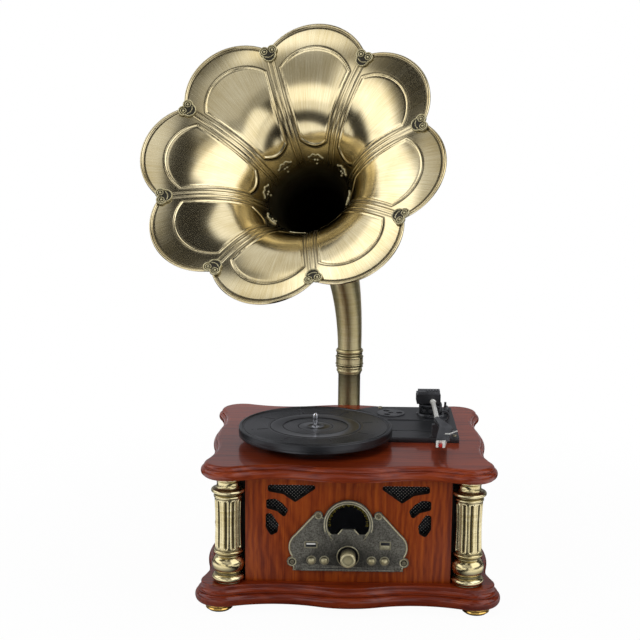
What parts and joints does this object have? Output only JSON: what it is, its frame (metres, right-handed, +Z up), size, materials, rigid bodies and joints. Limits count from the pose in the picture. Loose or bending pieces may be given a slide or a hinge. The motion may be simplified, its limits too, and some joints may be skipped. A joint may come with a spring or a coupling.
{
  "type": "record player",
  "caption": "Table-top record player with a belt-driven turntable and tonearm, a petal horn on a swivelling tube, a wooden case with turned columns and a dial plate.",
  "frame": {"origin": "centre of the base board's underside", "axes": "+X to the right seen from the front, +Y to the rear, +Z up; the dial faces -Y"},
  "size_m": [0.4584, 0.4204, 0.7239],
  "materials": {
    "cherry_wood": "glossy lacquer",
    "panel_wood": "satin lacquer",
    "black_wood": "matt black stain",
    "antique_brass": "brushed, darkened in the recesses",
    "bright_brass": "polished",
    "rubber": "matt",
    "black_mesh": "satin black, perforated",
    "driver_black": "satin black",
    "pewter": "antique pewter, grained",
    "aged_steel": "aged",
    "clear_lens": "clear",
    "dial_black": "gloss black",
    "bright_steel": "bright",
    "plain_steel": "plain",
    "black_plastic": "satin moulded",
    "grey_plastic": "satin",
    "arm_metal": "satin",
    "white_plastic": "smooth",
    "red_plastic": "smooth",
    "control_brass": "satin, aged",
    "gilt": "plated",
    "board_green": "satin"
  },
  "bodies": {
    "case": {"base_board": "cherry_wood", "top_board": "cherry_wood", "front_panel": "panel_wood", "rear_panel": "panel_wood", "side_panel_left": "cherry_wood", "side_panel_right": "cherry_wood", "corner_posts": "black_wood", "columns": "antique_brass", "feet": "bright_brass", "foot_pads": "rubber", "grille_left": "black_mesh", "grille_right": "black_mesh", "speaker_left": "driver_black", "speaker_right": "driver_black", "control_plate": "pewter", "screws": "aged_steel", "dial_lens": "clear_lens", "dial_face": "dial_black", "usb_port": "bright_steel", "card_slot": "black_plastic", "control_board": "board_green", "volume_pot": "plain_steel", "deck_plate": "black_plastic", "motor": "plain_steel", "drive_belt": "rubber", "spindle": "bright_steel", "arm_base": "black_plastic", "arm_rest": "black_plastic", "horn_tube": "antique_brass", "tube_bracket": "antique_brass", "horn_driver": "driver_black", "terminal_plate": "black_plastic", "audio_jacks": "gilt", "power_inlet": "black_plastic", "switch_housing": "black_plastic", "power_supply": "driver_black"},
    "platter": {"platter": "black_plastic"},
    "pulley": {"motor_pulley": "gilt"},
    "adapter": {"adapter_45": "black_plastic"},
    "turret": {"arm_turret": "black_plastic"},
    "tonearm": {"arm_block": "black_plastic", "arm_tube": "arm_metal", "headshell": "black_plastic", "cartridge": "white_plastic", "stylus": "red_plastic", "finger_lift": "arm_metal"},
    "cue_lever": {"cue_lever": "grey_plastic"},
    "lift_bar": {"lift_bar": "black_plastic"},
    "arm_clip": {"arm_clip": "black_plastic"},
    "knob": {"volume_knob": "control_brass"},
    "button_1": {"button_1": "control_brass"},
    "button_2": {"button_2": "control_brass"},
    "button_3": {"button_3": "control_brass"},
    "button_4": {"button_4": "control_brass"},
    "horn": {"horn_bell": "antique_brass", "horn_medallions": "antique_brass", "horn_neck": "antique_brass", "horn_elbow": "antique_brass", "horn_collar": "antique_brass"},
    "rocker": {"power_switch": "black_plastic"}
  },
  "joints": [
    {"name": "platter_spin", "type": "hinge", "parent": "case", "child": "platter", "pos_m": [-0.044, -0.037, 0.195], "axis": [0, 0, -1], "continuous": true},
    {"name": "pulley_spin", "type": "hinge", "parent": "case", "child": "pulley", "pos_m": [0.01115, 0.01815, 0.192], "axis": [0, 0, -1], "continuous": true},
    {"name": "adapter_lift", "type": "slide", "parent": "case", "child": "adapter", "axis": [0, 0, 1], "range_m": [0, 0.03]},
    {"name": "arm_swing", "type": "hinge", "parent": "case", "child": "turret", "pos_m": [0.115, 0.082, 0.191], "axis": [0, 0, -1], "range_deg": [0, 38]},
    {"name": "arm_tilt", "type": "hinge", "parent": "turret", "child": "tonearm", "pos_m": [0.115, 0.082, 0.199], "axis": [-1, 0, 0], "range_deg": [0, 8]},
    {"name": "cue_lever_turn", "type": "hinge", "parent": "case", "child": "cue_lever", "pos_m": [0.133, 0.078, 0.1951], "axis": [-1, 0, 0], "range_deg": [0, 60]},
    {"name": "lift_bar_slide", "type": "slide", "parent": "case", "child": "lift_bar", "axis": [0, 0, 1], "range_m": [0, 0.0031]},
    {"name": "arm_clip_turn", "type": "hinge", "parent": "case", "child": "arm_clip", "pos_m": [0.1245, -0.0325, 0.204], "axis": [0, -1, 0], "range_deg": [0, 62]},
    {"name": "knob_turn", "type": "hinge", "parent": "case", "child": "knob", "pos_m": [0, -0.15, 0.0603], "axis": [0, -1, 0], "range_deg": [-150, 150]},
    {"name": "horn_swivel", "type": "hinge", "parent": "case", "child": "horn", "pos_m": [0, 0.187, 0.24], "axis": [0, 0, 1], "range_deg": [-90, 90]},
    {"name": "power_switch_rock", "type": "hinge", "parent": "case", "child": "rocker", "pos_m": [0.101, 0.1405, 0.065], "axis": [1, 0, 0], "range_deg": [0, 16]},
    {"name": "button_1_push", "type": "slide", "parent": "case", "child": "button_1", "axis": [0, 1, 0], "range_m": [0, 0.0008], "stiffness_N_per_m": 400, "springref_m": -0.0005},
    {"name": "button_2_push", "type": "slide", "parent": "case", "child": "button_2", "axis": [0, 1, 0], "range_m": [0, 0.0008], "stiffness_N_per_m": 400, "springref_m": -0.0005},
    {"name": "button_3_push", "type": "slide", "parent": "case", "child": "button_3", "axis": [0, 1, 0], "range_m": [0, 0.0008], "stiffness_N_per_m": 400, "springref_m": -0.0005},
    {"name": "button_4_push", "type": "slide", "parent": "case", "child": "button_4", "axis": [0, 1, 0], "range_m": [0, 0.0008], "stiffness_N_per_m": 400, "springref_m": -0.0005}
  ],
  "couplings": [
    {"joint": "pulley_spin", "follows": "platter_spin", "ratio": 12},
    {"joint": "cue_lever_turn", "follows": "arm_tilt", "ratio": 7.5},
    {"joint": "lift_bar_slide", "follows": "arm_tilt", "m_per_rad": 0.0215}
  ]
}
